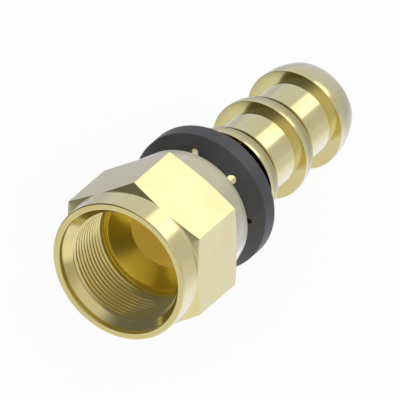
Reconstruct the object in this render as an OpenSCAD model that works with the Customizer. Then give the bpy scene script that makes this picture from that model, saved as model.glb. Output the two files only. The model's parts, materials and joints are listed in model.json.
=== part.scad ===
// Hose fitting with a hexagon swivel nut, a barbed tailpiece and a snap-on collar.
// The fitting lies along X, with the nut's mouth at the low end and the hose end at
// the high end. The origin is on the axis where the full thread of the nut starts.
// Z points out of one flat of the nut. All lengths are in millimetres.

/* [Swivel nut] */
// Width across the flats
nut_flats = 22.2; // [21.6:0.1:26]
// Length of the round nose in front of the hexagon
nose_len = 4.1; // [3:0.1:6]
// Length of a flat along its middle
hex_len = 11.3; // [10:0.1:15]
// Length of the tapered skirt behind the hexagon
skirt_len = 5.2; // [4:0.1:7]
// Outside diameter at the rear end of the skirt
skirt_end_d = 19.8; // [18.6:0.1:21]
// Angle of the chamfer that cuts the corners of the hexagon at both ends
corner_chamfer = 15; // [8:1:25]
// Radius of the fillet between the nose and the front shoulder
nose_fillet = 0.4; // [0.2:0.05:0.8]
// Radius of the rounded outer edges of the nut
nut_edge = 0.2; // [0.1:0.05:0.3]

/* [Mouth and thread] */
// Diameter of the plain recess at the mouth
mouth_d = 20; // [19:0.1:20.6]
// Depth of the plain recess at the mouth
mouth_depth = 0.85; // [0.4:0.05:1.5]
// Diameter of the plain wall that stands for the thread, in the middle of its flanks
thread_d = 17.8; // [17.2:0.1:18.4]
// Depth of the relief behind the thread, across the radius
relief_depth = 0.25; // [0.1:0.05:0.4]
// Distance that the relief starts in front of the seat
relief_lead = 0.05; // [0:0.05:1]

/* [Seat and head] */
// Distance from the mouth of the nut to the rim of the seat
seat_depth = 9.9; // [8.5:0.1:11]
// Width of the flat rim round the wide end of the conical seat
seat_rim = 0.9; // [0.3:0.05:2]
// Angle between the seat and the axis
seat_angle = 38; // [30:1:60]
// Length of the head that the nut pulls on
head_len = 4.3; // [3.5:0.1:5]
// Diameter of the flow bore
bore_d = 10.6; // [8:0.1:10.8]

/* [Hose tail] */
// Diameter of the shank between the barbs
shank_d = 11.9; // [11.4:0.1:12.6]
// Diameter over the barbs
barb_d = 15.9; // [14.5:0.1:16.3]
// Number of barbs
barb_count = 3; // [2:1:5]
// Distance from one barb to the next
barb_pitch = 10.2; // [6:0.1:14]
// Radius of the curved back of each barb
barb_curve = 6.15; // [3:0.05:9]
// Radius of the curved back of the end barb
tip_curve = 12.1; // [8:0.1:20]
// Length from the crest of the end barb to the end of the tail
tip_len = 4.85; // [2.5:0.05:6]
// Radius of the edge round the end of the tail
tip_round = 0.35; // [0.1:0.05:0.6]
// Length of the plain tail between the collar and the first barb
hose_gap = 4.45; // [2:0.05:12]

/* [Collar] */
// Distance that the collar's band stands out past the flats of the nut
collar_over = 0; // [-0.6:0.1:2]
// Width of the flat ring at the front of the collar's hub
hub_flat = 0.35; // [0.2:0.05:0.8]
// Angle between the collar's conical front and a plane across the axis
cone_angle = 42.5; // [30:0.5:50]
// Length of the round band behind the cone
band_len = 2.75; // [1.5:0.05:8]
// Thickness of the cone, measured along the axis
cone_wall = 1.3; // [0.8:0.1:1.8]
// Thickness of the round band
band_wall = 0.7; // [0.5:0.05:1.2]
// Diameter of the holes that show whether the hose is home
window_d = 1.6; // [1:0.1:1.8]
// Diameter of the circle of holes
window_circle = 17.56; // [16.5:0.02:18.4]
// Number of holes
window_count = 8; // [4:1:12]
// Diameter of the land that the collar sits on
land_d = 12.4; // [12.3:0.05:12.6]
// Height of the bead that holds the collar, above the land
bead_height = 0.25; // [0.1:0.05:0.4]
// Radius of the collar's outer edges
collar_edge = 0.15; // [0.05:0.05:0.3]

/* [Clearances] */
// Clearance between the barbs and the hole in the back of the nut
pass_gap = 0.3; // [0.25:0.05:0.35]
// Running clearance between the nut and the tailpiece, across the radius
run_gap = 0.1; // [0.05:0.01:0.1]
// Clearance between the head and the shoulder inside the nut, along the axis
shoulder_gap = 0.15; // [0.1:0.05:0.3]
// Clearance between the head and the thread, across the radius
head_gap = 0.3; // [0.2:0.05:0.35]
// Clearance between the back of the nut and the collar's cone, along the axis
collar_gap = 0.55; // [0.3:0.05:1]
// Clearance between the collar and the land, across the radius
land_gap = 0.05; // [0.02:0.01:0.1]

/* [Hidden] */
$fn = 96;
brass = [0.83, 0.76, 0.52];
black = [0.26, 0.26, 0.26];
arc_steps = 8;

// Places along the axis, measured from the mouth of the nut
lead_len = (mouth_d - thread_d) / 2;
thread_x = mouth_depth + lead_len;
relief_x = seat_depth - relief_lead;
head_back = seat_depth + head_len;
nut_shoulder = head_back + shoulder_gap;
hex_end = nose_len + hex_len;
nut_end = hex_end + skirt_len;

// Radii of the nut
flat_r = nut_flats / 2;
corner_r = flat_r / cos(30);
// The nose stays this much inside the flats, so that it is not quite tangent to them
nose_step = 0.02;
nose_r = flat_r - nose_step;
thread_r = thread_d / 2;
relief_r = thread_r + relief_depth;
back_hole_r = barb_d / 2 + pass_gap;

// Radii of the tailpiece
head_r = thread_r - head_gap;
neck_r = back_hole_r - run_gap;
land_r = land_d / 2;
shank_r = shank_d / 2;
barb_r = barb_d / 2;
bore_r = bore_d / 2;
head_edge = 0.15;
seat_r = head_r - head_edge - seat_rim;
seat_len = (seat_r - bore_r) / tan(seat_angle);
bore_edge = 0.4;
// Each barb has a short round land, and its face leans forward by this much
barb_land = 0.2;
barb_lean = 0.12;

// Places and radii of the collar
hub_r = land_r + land_gap + hub_flat;
collar_r = flat_r + collar_over;
cone_slope = tan(cone_angle);
collar_x = nut_end + collar_gap - (back_hole_r - hub_r) * cone_slope;
cone_len = (collar_r - hub_r) * cone_slope;
collar_end = collar_x + cone_len + band_len;
cup_r = collar_r - band_wall;
cup_x = collar_x + cone_wall + (cup_r - hub_r) * cone_slope;
window_start = 30;
bead_x = collar_x + cone_wall + land_gap;
bead_len = 0.3;

// Places of the barbs and of the end of the tail
first_barb = collar_end + hose_gap;
last_barb = first_barb + (barb_count - 1) * barb_pitch;
tail_end = last_barb + tip_len;

// Points of an arc that leaves the axis direction at (r, x) and curves inwards
function curved_back(r, x, curve, len) =
    [for (i = [0 : arc_steps])
        let (a = asin(len / curve) * i / arc_steps)
        [r - curve * (1 - cos(a)), x + curve * sin(a)]];

// Length along the axis in which such an arc comes in by a given drop
function arc_length(curve, drop) = sqrt(curve * curve - (curve - drop) * (curve - drop));

// Points of a rounded edge of a given radius, from angle a to angle b round (r, x)
function rounded(r, x, radius, a, b) =
    [for (i = [0 : arc_steps])
        let (t = a + (b - a) * i / arc_steps)
        [r + radius * cos(t), x + radius * sin(t)]];

// One barb: a nearly flat face, a short land and a curved back down to the shank
function barb(x) = concat(
    [[shank_r, x - barb_lean], [barb_r, x]],
    curved_back(barb_r, x + barb_land, barb_curve, arc_length(barb_curve, barb_r - shank_r)));

// Turns a profile of [radius, place along X] points about the X axis
module turned(profile) {
    translate([-thread_x, 0, 0])
        rotate([0, 90, 0])
            rotate_extrude()
                polygon(profile);
}

// Outside of the nut: nose, fillet, shoulders at the corner chamfer, and skirt
module nut_envelope() {
    chamfer_len = (corner_r + 1 - nose_r) * tan(corner_chamfer);
    skirt_r = skirt_end_d / 2;
    fillet_x = nose_len - nose_fillet / cos(corner_chamfer) * (1 - sin(corner_chamfer));
    turned(concat(
        [[0, 0]],
        rounded(nose_r - nut_edge, nut_edge, nut_edge, -90, 0),
        rounded(nose_r + nose_fillet, fillet_x, nose_fillet, 180, 90 + corner_chamfer),
        [[corner_r + 1, nose_len + chamfer_len],
         [corner_r + 1, hex_end - chamfer_len],
         [nose_r, hex_end]],
        rounded(skirt_r - nut_edge, nut_end - nut_edge, nut_edge, 0, 90),
        [[0, nut_end]]));
}

// Inside of the nut: recess, lead chamfer, thread wall, relief and back hole
module nut_bore() {
    turned([
        [0, -1],
        [mouth_d / 2, -1],
        [mouth_d / 2, mouth_depth],
        [thread_r, thread_x],
        [thread_r, relief_x],
        [relief_r, relief_x + relief_depth],
        [relief_r, nut_shoulder],
        [back_hole_r, nut_shoulder],
        [back_hole_r, nut_end + 1],
        [0, nut_end + 1]]);
}

// Hexagon swivel nut, one turned and milled piece
module swivel_nut() {
    color(brass)
    difference() {
        intersection() {
            nut_envelope();
            translate([-thread_x, 0, 0])
                rotate([0, 90, 0])
                    rotate([0, 0, 30])
                        cylinder(r = corner_r, h = nut_end, $fn = 6);
        }
        nut_bore();
    }
}

// Tailpiece: seat, head, neck, land with its bead, and barbed hose tail, one turned piece
module tailpiece() {
    tip_arc = tip_len - barb_land - tip_round / 2;
    tip_r = barb_r - tip_curve + sqrt(tip_curve * tip_curve - tip_arc * tip_arc);
    color(brass)
    turned(concat(
        [[seat_r, seat_depth],
         [head_r - head_edge, seat_depth],
         [head_r, seat_depth + head_edge],
         [head_r, head_back],
         [neck_r, head_back],
         [neck_r, collar_x],
         [land_r, collar_x],
         [land_r, bead_x],
         [land_r + bead_height, bead_x],
         [land_r + bead_height, bead_x + bead_len],
         [shank_r, bead_x + bead_len + land_r + bead_height - shank_r]],
        [for (i = [0 : barb_count - 2])
            each barb(first_barb + i * barb_pitch)],
        [[shank_r, last_barb - barb_lean], [barb_r, last_barb]],
        curved_back(barb_r, last_barb + barb_land, tip_curve, tip_arc - tip_round / 2),
        rounded(tip_r - tip_round, tail_end - tip_round, tip_round, 20, 90),
        [[bore_r + bore_edge, tail_end],
         [bore_r, tail_end - bore_edge],
         [bore_r, seat_depth + seat_len]]));
}

// Collar: a cup with a conical front, a round band and a circle of holes
module collar_ring() {
    cone_out = collar_x + cone_len;
    color(black)
    difference() {
        turned(concat(
            [[land_r + land_gap, collar_x],
             [hub_r, collar_x],
             [collar_r - collar_edge, cone_out - collar_edge * cone_slope],
             [collar_r, cone_out + collar_edge / 2]],
            rounded(collar_r - collar_edge, collar_end - collar_edge, collar_edge, 0, 90),
            [[cup_r, collar_end],
             [cup_r, cup_x],
             [hub_r, collar_x + cone_wall],
             [land_r + land_gap, collar_x + cone_wall]]));
        for (i = [0 : window_count - 1])
            rotate([-(window_start + i * 360 / window_count), 0, 0])
                translate([collar_x - thread_x - 1, 0, window_circle / 2])
                    rotate([0, 90, 0])
                        cylinder(d = window_d, h = collar_end - collar_x);
    }
}

tailpiece();
swivel_nut();
collar_ring();
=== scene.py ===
"""Looks of a barbed swivel hose fitting: nut, thread, tailpiece, collar and stage."""

import json
import math

import bpy
from bpy.props import FloatProperty, FloatVectorProperty, IntProperty, PointerProperty
from bpy.types import Operator, Panel, PropertyGroup
from mathutils import Matrix, Vector


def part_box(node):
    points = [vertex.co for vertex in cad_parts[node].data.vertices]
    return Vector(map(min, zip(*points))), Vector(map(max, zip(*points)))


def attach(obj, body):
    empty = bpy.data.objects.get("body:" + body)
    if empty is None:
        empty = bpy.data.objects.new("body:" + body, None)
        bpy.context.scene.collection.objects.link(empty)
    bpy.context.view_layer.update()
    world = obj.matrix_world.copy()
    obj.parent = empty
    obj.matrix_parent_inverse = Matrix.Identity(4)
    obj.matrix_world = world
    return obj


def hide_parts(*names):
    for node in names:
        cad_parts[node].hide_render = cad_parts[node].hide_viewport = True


bl_info = {
    "name": "Barbed Swivel Hose Fitting",
    "version": (1, 0, 0),
    "blender": (4, 5, 0),
    "location": "3D View > Sidebar > Fitting",
    "description": "Builds the surfaces and finishes of a brass hose fitting round its packed solids",
    "category": "Add Mesh",
}

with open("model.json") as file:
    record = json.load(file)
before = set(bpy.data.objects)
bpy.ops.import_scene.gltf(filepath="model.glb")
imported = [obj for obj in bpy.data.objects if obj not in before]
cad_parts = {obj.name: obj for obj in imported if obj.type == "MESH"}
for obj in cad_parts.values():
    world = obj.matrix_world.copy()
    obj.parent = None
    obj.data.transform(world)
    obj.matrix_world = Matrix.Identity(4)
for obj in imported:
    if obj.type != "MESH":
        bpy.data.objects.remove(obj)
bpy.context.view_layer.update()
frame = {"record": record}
MM = 0.001

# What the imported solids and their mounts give: every place below is measured from these
MOUNTS = {m["name"]: m for m in frame["record"]["mounts"]}
NUT_LO, NUT_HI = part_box("swivel_nut")
TAIL_LO, TAIL_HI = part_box("tailpiece")
RING_LO, RING_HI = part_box("collar_ring")
THREAD = MOUNTS["swivel_thread"]["dims"]
HOSE = MOUNTS["hose_tail"]
BORE = MOUNTS["flow_bore"]
HOSE_X = HOSE["pos_m"][0]
HOSE_LENGTH = HOSE["dims"]["length_mm"] * MM
BORE_X = BORE["pos_m"][0]
BORE_LENGTH = BORE["dims"]["length_mm"] * MM

# Where the crest of the first barb starts and that of the last one ends
FIRST_BARB_X = HOSE_X - HOSE_LENGTH / 2
LAST_BARB_X = HOSE_X + HOSE_LENGTH / 2

# Steps round a full turn, a small edge, an end of the nut, its fillet and the floor, and along a barb's
# back and a side of the hexagon
TURN_STEPS = 192
EDGE_STEPS = 4
RIM_STEPS = 6
FILLET_STEPS = 8
FLOOR_STEPS = 96
BACK_STEPS = 16
SIDE_STEPS = 32

# Length of a face along the collar, and the gap between its cone and the bead behind it
COLLAR_ROW = 0.5 * MM
RING_PLAY = 0.05 * MM
# Radii closer than this are the same
SAME_RADIUS = 1e-6 * MM
# Edges that turn more than this stay sharp
SHARP_ANGLE = math.radians(32)
# Rotation that lays what stands on Z along X
ALONG_X = (0.0, -math.pi / 2, 0.0)

# Depth of the turning marks outside, inside and in the bore, and of the moulded grain
MARK_DEPTH = 0.004 * MM
FINE_DEPTH = 0.002 * MM
BORE_DEPTH = 0.001 * MM
GRAIN_DEPTH = 0.01 * MM
# A mirrored ray shorter than the first has stayed in a groove of the thread, and one shorter than the
# second passes through a shoulder or a barb's face
GROOVE_REACH = 3.0 * MM
FACE_REACH = 6.2 * MM
# Where the painted shade on a barb's back starts and is full, behind the crest, and the share of lacquer it
# takes away there
VALLEY_SHADE_RAMP = (0.5 * MM, 1.6 * MM)
VALLEY_SHADE_LACQUER_CUT = 0.6
# Where the painted shade on the first barb's face starts, along Y
SHADE_SIDE = 3.0 * MM
# Share of the collar that mirrors leave out, and of white in what the camera sees of the floor
COLLAR_LEFT_OUT = 0.88
FLOOR_WHITE = 0.93


# Makers of the settings that a user may change

def length_prop(name, about, default):
    """A length in metres."""
    return FloatProperty(name=name, description=about, default=default, unit="LENGTH")


def angle_prop(name, about, degrees):
    """An angle, given in degrees."""
    return FloatProperty(name=name, description=about, default=math.radians(degrees), subtype="ANGLE")


def colour_prop(name, about, default):
    """A colour in linear red, green and blue."""
    return FloatVectorProperty(
        name=name, description=about, default=default, subtype="COLOR", size=3, min=0.0, max=1.0)


def direction_prop(name, about, default):
    """A direction in the object's frame."""
    return FloatVectorProperty(name=name, description=about, default=default, subtype="DIRECTION", size=3)


def share_prop(name, about, default):
    """A share from 0 to 1."""
    return FloatProperty(name=name, description=about, default=default, min=0.0, max=1.0)


def level_prop(name, about, default):
    """A strength of light, 0 or more."""
    return FloatProperty(name=name, description=about, default=default, min=0.0)


def count_prop(name, about, default, least):
    """A whole number with its least value."""
    return IntProperty(name=name, description=about, default=default, min=least)


class NutSizes(PropertyGroup):
    """Sizes of the hexagon swivel nut"""

    flat_radius: length_prop("Flat Radius", "From the axis to a flat", NUT_HI.z)
    nose_length: length_prop("Nose Length", "Round nose in front of the hexagon", 4.1 * MM)
    nose_step: length_prop("Nose Step", "How far the nose stays inside the flats", 0.02 * MM)
    skirt_length: length_prop("Skirt Length", "Tapered skirt behind the hexagon", 5.2 * MM)
    skirt_end_radius: length_prop("Skirt End Radius", "Radius at the rear of the skirt", 9.9 * MM)
    chamfer: angle_prop("Corner Chamfer", "Angle of the cones that cut the corners", 15)
    nose_fillet: length_prop("Nose Fillet", "Radius between nose and shoulder", 0.4 * MM)
    edge: length_prop("Edge Radius", "Radius of the outer edge of the nose", 0.2 * MM)
    skirt_edge: length_prop("Skirt Edge", "Radius of the rear edge of the skirt", 0.06 * MM)
    corner_edge: length_prop("Corner Radius", "Radius along the corners and rims of the hexagon", 0.07 * MM)
    mouth_radius: length_prop("Mouth Radius", "Plain recess at the mouth", 10.0 * MM)
    mouth_depth: length_prop("Mouth Depth", "Depth of the plain recess", 0.85 * MM)
    mouth_edge: length_prop("Mouth Edge", "Radius at the floor of the recess", 0.03 * MM)
    rim_edge: length_prop("Rim Edge", "Radius of the rim's inner edge", 0.14 * MM)
    thread_radius: length_prop(
        "Thread Wall", "Wall of the solids in the middle of the thread's flanks", THREAD["r_mm"] * MM)
    root_depth: length_prop(
        "Root Depth", "How far the root of the thread lies outside that wall", 0.15 * MM)
    thread_length: length_prop(
        "Thread Length", "Full thread from its start to the relief", THREAD["length_mm"] * MM)
    relief_depth: length_prop(
        "Relief Depth", "Relief behind the thread, outside the thread wall", 0.25 * MM)
    shoulder_x: length_prop("Shoulder", "Place of the inner shoulder along X", 12.4 * MM)
    hole_radius: length_prop("Back Hole Radius", "Hole that runs on the neck", 8.25 * MM)


class ThreadSizes(PropertyGroup):
    """Sizes of the inside thread"""

    pitch: length_prop("Pitch", "Distance from one turn to the next", 0.771 * MM)
    depth: length_prop("Depth", "Height of the ridges above the root", 0.40 * MM)
    root_flat: length_prop("Root Flat", "Width of the floor of the groove", 0.1 * MM)
    flank: angle_prop("Flank Angle", "Angle between a flank and a plane across the axis", 30)
    seat_in: length_prop("Seat In", "How far the foot of a ridge lies in the wall", 0.03 * MM)
    first_angle: angle_prop("First Angle", "Turn of the whole thread round the axis", 93)
    steps: count_prop("Steps", "Steps in one turn", 120, 12)


class TailSizes(PropertyGroup):
    """Sizes of the barbed tailpiece"""

    head_radius: length_prop("Head Radius", "Head inside the nut", TAIL_HI.z)
    head_length: length_prop("Head Length", "Head from the seat's rim to its back", 4.3 * MM)
    head_edge: length_prop("Head Edge", "Chamfer of the head's front edge", 0.15 * MM)
    seat_rim: length_prop("Seat Rim", "Flat rim round the conical seat", 0.9 * MM)
    neck_radius: length_prop("Neck Radius", "Neck that the nut runs on", 8.15 * MM)
    land_radius: length_prop("Land Radius", "Land under the collar", 6.2 * MM)
    bead_height: length_prop("Bead Height", "Bead behind the collar", 0.25 * MM)
    bead_length: length_prop("Bead Length", "Bead behind the collar, along X", 0.3 * MM)
    shank_radius: length_prop("Shank Radius", "Shank between the barbs", 5.95 * MM)
    barb_radius: length_prop("Barb Radius", "Crest of the barbs", HOSE["dims"]["r_mm"] * MM)
    barb_count: count_prop("Barbs", "Number of barbs", 3, 2)
    barb_land: length_prop("Barb Land", "Round land on each crest", 0.2 * MM)
    barb_lean: length_prop("Barb Lean", "How far a barb's face leans forward", 0.12 * MM)
    barb_curve: length_prop("Barb Curve", "Radius of a barb's curved back", 6.15 * MM)
    tip_curve: length_prop("Tip Curve", "Radius of the end barb's back", 12.1 * MM)
    tip_round: length_prop("Tip Round", "Edge round the end of the tail", 0.35 * MM)
    crest_edge: length_prop("Crest Edge", "Radius of the small edges of a turned part", 0.06 * MM)
    bore_radius: length_prop("Bore Radius", "Flow bore", BORE["dims"]["r_mm"] * MM)
    bore_edge: length_prop("Bore Edge", "Chamfer at the end of the bore", 0.4 * MM)


class CollarSizes(PropertyGroup):
    """Sizes of the plastic collar"""

    band_radius: length_prop("Band Radius", "Outside of the round band", RING_HI.z)
    band_length: length_prop("Band Length", "Round band behind the cone", 2.75 * MM)
    hub_radius: length_prop("Hub Radius", "Flat front of the hub", 6.6 * MM)
    hole_radius: length_prop("Hole Radius", "Hole on the land", 6.25 * MM)
    cone_wall: length_prop("Cone Wall", "Wall of the cone along X", 1.3 * MM)
    band_wall: length_prop("Band Wall", "Wall of the round band", 0.7 * MM)
    edge: length_prop("Edge Radius", "Radius of the moulded edges", 0.15 * MM)
    window_count: count_prop("Windows", "Number of small holes", 8, 1)
    window_radius: length_prop("Window Radius", "Radius of a small hole", 0.8 * MM)
    window_circle: length_prop("Window Circle", "Radius of the circle of holes", 8.78 * MM)
    window_start: angle_prop("First Window", "Angle of the first hole from +Z toward +Y", 30)


class Finishes(PropertyGroup):
    """Colours, painted light and shade, and surface detail of the brass and the plastic"""

    brass: colour_prop("Brass", "Colour of the polished brass", (0.80, 0.71, 0.36))
    warm_brass: colour_prop("Warm Brass", "Colour of the slightly deeper patches", (0.77, 0.66, 0.30))
    # Deep Brass and Deep Seat are painted light: the brass glows with them where a ray has met many walls,
    # in place of further bounces
    deep_brass: colour_prop(
        "Deep Brass", "Colour at the end of a long way between brass walls", (0.24, 0.21, 0.09))
    # Painted reflection: the seat's deep gold stands in for light mirrored to and fro inside the nut
    seat_brass: colour_prop("Seat Brass", "Colour of the bare seat", (0.98, 0.74, 0.13))
    seat_deep: colour_prop(
        "Deep Seat", "Colour that the seat gathers from deep inside", (0.23, 0.205, 0.085))
    # Painted shade low on a barb's back, multiplied into the brass colour
    back_tint: colour_prop(
        "Barb Back Tint", "Share of the brass colour low on a barb's back", (0.74, 0.68, 0.42))
    # Thread Across and Groove Brass are painted light and shade: the thread glows with them at the end of
    # its rays, darker in the grooves
    thread_deep: colour_prop(
        "Thread Across", "Colour of the thread seen twice across the mouth", (0.30, 0.26, 0.12))
    groove_brass: colour_prop(
        "Groove Brass", "Colour deep in the grooves of the thread", (0.11, 0.10, 0.045))
    bore_brass: colour_prop("Bore Brass", "Colour of the bare bore", (0.93, 0.76, 0.32))
    bore_roughness: share_prop("Bore Roughness", "Roughness of the bore", 0.20)
    # Painted shade: the first barb's face takes this colour where the collar shades it
    shaded: colour_prop(
        "Shaded Brass", "Colour of the dull face in the collar's shade", (0.012, 0.010, 0.006))
    # Painted light: the bore glows with Deep Bore where a ray has met many walls
    bore_deep: colour_prop(
        "Deep Bore", "Colour at the end of a long way between the bore's walls", (0.42, 0.39, 0.26))
    brass_roughness: share_prop("Brass Roughness", "Roughness of the polished brass", 0.12)
    lacquer: share_prop("Lacquer", "Share of clear lacquer on the brass", 1.0)
    plastic: colour_prop("Plastic", "Colour of the moulded plastic", (0.045, 0.045, 0.046))
    plastic_roughness: share_prop("Plastic Roughness", "Roughness of the moulded plastic", 0.42)


class StageSettings(PropertyGroup):
    """Camera, floor and lights"""

    aim: FloatVectorProperty(
        name="Aim", description="Point at the middle of the picture", subtype="TRANSLATION", size=3,
        default=(11.12 * MM, -1.69 * MM, 9.51 * MM), unit="LENGTH")
    look: direction_prop("Look", "Direction in which the camera looks", (0.7493, 0.1264, -0.6501))
    up: direction_prop("Up", "Direction that is up in the picture", (0.4327, 0.6498, 0.6250))
    view_width: length_prop("View Width", "Width that the picture covers", 58.52 * MM)
    distance: length_prop("Distance", "From the camera to the aim", 0.4)
    floor_radius: length_prop("Floor Radius", "Radius of the round floor", 6.0)
    level: level_prop("Light Level", "Strength of the even light from all round", 0.8)
    surround: level_prop("Surround Level", "Brightness between the cards that gloss sees", 0.72)
    key_level: level_prop("Key Level", "Brightness of the soft box above", 1.6)
    key_size: length_prop("Key Size", "Side of the soft box", 0.42)
    key_distance: length_prop("Key Distance", "From the object to the soft box", 0.6)
    key_direction: direction_prop(
        "Key Direction", "Direction from the object to the soft box", (0.75, 0.13, 0.65))


# Makers of nodes and trees

def node(tree, kind, values=(), **settings):
    """Adds a node of that kind, with its settings and its input values or links."""
    made = tree.nodes.new(kind)
    for key, value in settings.items():
        setattr(made, key, value)
    for key, value in dict(values).items():
        if isinstance(value, bpy.types.NodeSocket):
            tree.links.new(value, made.inputs[key])
        else:
            made.inputs[key].default_value = value
    return made


def calc(tree, operation, *values):
    """Output of a Math node on up to three values or links."""
    return node(tree, "ShaderNodeMath", dict(enumerate(values)), operation=operation).outputs[0]


def vector_calc(tree, operation, *values):
    """Outputs of a Vector Math node on its vectors."""
    return node(tree, "ShaderNodeVectorMath", dict(enumerate(values)), operation=operation).outputs


def vector_of(tree, **axes):
    """A vector with the given X, Y and Z. What isn't given is 0."""
    return node(tree, "ShaderNodeCombineXYZ", axes).outputs[0]


def colour_mix(tree, factor, first, second, blend_type="MIX"):
    """Output of a node that mixes two colours, each a link or three values."""
    ends = {key: end if isinstance(end, bpy.types.NodeSocket) else (*end, 1)
            for key, end in (("A", first), ("B", second))}
    return node(tree, "ShaderNodeMix", {"Factor": factor, **ends}, data_type="RGBA",
                blend_type=blend_type).outputs["Result"]


def ramp(tree, value, start, end, low=0.0, high=1.0, **settings):
    """Goes from low to high while the value goes from start to end."""
    return node(tree, "ShaderNodeMapRange", {"Value": value, "From Min": start, "From Max": end,
                                             "To Min": low, "To Max": high}, **settings).outputs[0]


def noise(tree, values, **settings):
    """Output of a Noise Texture."""
    return node(tree, "ShaderNodeTexNoise", values, **settings).outputs["Fac"]


def object_place(tree):
    """The Object coordinates."""
    return node(tree, "ShaderNodeTexCoord").outputs["Object"]


def axes_of(tree, place):
    """The X, Y and Z of a place."""
    return node(tree, "ShaderNodeSeparateXYZ", {"Vector": place}).outputs


def from_axis(tree, axes):
    """Distance from the X axis."""
    return calc(tree, "SQRT", calc(tree, "ADD", calc(tree, "MULTIPLY", axes["Y"], axes["Y"]),
                                   calc(tree, "MULTIPLY", axes["Z"], axes["Z"])))


def new_group(kind, name, inputs, outputs):
    """A node group with named inputs and outputs, and the sockets that read and feed them."""
    tree = bpy.data.node_groups.new(name, kind)
    for label, socket, default in inputs:
        made = tree.interface.new_socket(label, in_out="INPUT", socket_type="NodeSocket" + socket)
        if default is not None:
            made.default_value = default
    for label, socket in outputs:
        tree.interface.new_socket(label, in_out="OUTPUT", socket_type="NodeSocket" + socket)
    return tree, node(tree, "NodeGroupInput").outputs, node(tree, "NodeGroupOutput").inputs


def use_group(tree, group, values=(), label=""):
    """Outputs of a shader node group that is placed in a material or world with its own values."""
    return node(tree, "ShaderNodeGroup", values, node_tree=group, label=label).outputs


def cleared_tree(owner):
    """The node tree of a material or world, emptied."""
    owner.use_nodes = True
    owner.node_tree.nodes.clear()
    return owner.node_tree


def shared(name, maker):
    """The node group or material of that name, made the first time it is asked for."""
    return bpy.data.node_groups.get(name) or bpy.data.materials.get(name) or maker()


# Effects shared by the materials

def turning_marks_group():
    """Fine rings left by the tool, round the X axis, on cylinders and on faces across it."""
    tree, given, out = new_group(
        "ShaderNodeTree", "Turning Marks",
        [("Marks per Metre", "Float", 9000.0), ("Waviness", "Float", 0.35)],
        [("Height", "Float"), ("Mask", "Float")])
    place = object_place(tree)
    axes = axes_of(tree, place)
    along = calc(tree, "ADD", axes["X"], from_axis(tree, axes))
    drift = noise(tree, {"Vector": place, "Scale": 220.0, "Detail": 2.0})
    shift = calc(tree, "MULTIPLY", drift, given["Waviness"])
    rings = calc(tree, "ADD", calc(tree, "MULTIPLY", along, given["Marks per Metre"]), shift)
    fine = noise(tree, {"W": rings, "Scale": 1.0, "Detail": 3.0, "Roughness": 0.6}, noise_dimensions="1D")
    broad = noise(tree, {"W": rings, "Scale": 0.12, "Detail": 1.0}, noise_dimensions="1D")
    tree.links.new(fine, out["Height"])
    tree.links.new(broad, out["Mask"])
    return tree


def bar_grain_group():
    """Fine straight lines along X, as on the flats of drawn bar."""
    tree, given, out = new_group(
        "ShaderNodeTree", "Drawn Bar Grain",
        [("Lines per Metre", "Float", 5000.0), ("Stretch", "Float", 0.03)],
        [("Height", "Float"), ("Mask", "Float")])
    scale = vector_of(tree, X=given["Stretch"], Y=1.0, Z=1.0)
    stretched = vector_calc(tree, "MULTIPLY", object_place(tree), scale)[0]
    fine = noise(tree, {"Vector": stretched, "Scale": given["Lines per Metre"], "Detail": 3.0,
                        "Roughness": 0.55})
    broad = noise(tree, {"Vector": stretched, "Detail": 1.0,
                         "Scale": calc(tree, "MULTIPLY", given["Lines per Metre"], 0.1)})
    tree.links.new(fine, out["Height"])
    tree.links.new(broad, out["Mask"])
    return tree


def soft_patches_group():
    """Broad soft patches, such as handling leaves on a polished or moulded surface."""
    tree, given, out = new_group(
        "ShaderNodeTree", "Soft Patches",
        [("Patches per Metre", "Float", 160.0), ("Low", "Float", 0.35), ("High", "Float", 0.65)],
        [("Mask", "Float")])
    cloud = noise(tree, {"Vector": object_place(tree), "Scale": given["Patches per Metre"], "Detail": 4.0,
                         "Roughness": 0.5})
    tree.links.new(ramp(tree, cloud, given["Low"], given["High"]), out["Mask"])
    return tree


def fine_grain_group():
    """Very fine even grain of a moulded surface."""
    tree, given, out = new_group(
        "ShaderNodeTree", "Moulded Grain",
        [("Grains per Metre", "Float", 9000.0)],
        [("Height", "Float"), ("Mask", "Float")])
    place = object_place(tree)
    grain = noise(tree, {"Vector": place, "Scale": given["Grains per Metre"], "Detail": 2.0})
    pores = node(tree, "ShaderNodeTexVoronoi", {"Vector": place, "Scale": given["Grains per Metre"]})
    tree.links.new(grain, out["Height"])
    tree.links.new(pores.outputs["Distance"], out["Mask"])
    return tree


# Materials

def surface_material(name, marks, patches, colours, roughness, spread, marks_share, bump):
    """A material whose two colours alternate in soft patches, with the tree and shader to go on with.

    Its marks come from a group with Height and Mask outputs. Both masks vary the roughness by spread
    round its level. bump is the strength and the depth of the marks.
    """
    material = bpy.data.materials.new(name)
    tree = cleared_tree(material)
    shader = node(tree, "ShaderNodeBsdfPrincipled")
    output = node(tree, "ShaderNodeOutputMaterial")
    tree.links.new(shader.outputs[0], output.inputs["Surface"])
    marked = use_group(tree, marks)
    patched = use_group(tree, shared("Soft Patches", soft_patches_group), patches)["Mask"]
    tree.links.new(colour_mix(tree, patched, *colours), shader.inputs["Base Color"])
    mask = calc(tree, "MULTIPLY_ADD", marked["Mask"], marks_share,
                calc(tree, "MULTIPLY", patched, 1.0 - marks_share))
    tree.links.new(ramp(tree, mask, 0.0, 1.0, roughness - spread, roughness + spread),
                   shader.inputs["Roughness"])
    relief = node(tree, "ShaderNodeBump", {"Height": marked["Height"], "Strength": bump[0],
                                           "Distance": bump[1]})
    tree.links.new(relief.outputs[0], shader.inputs["Normal"])
    return material, tree, shader


def change(tree, shader, name, maker):
    """Feeds an input of the shader what the maker makes of the link that feeds it now."""
    tree.links.new(maker(shader.inputs[name].links[0].from_socket), shader.inputs[name])


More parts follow.
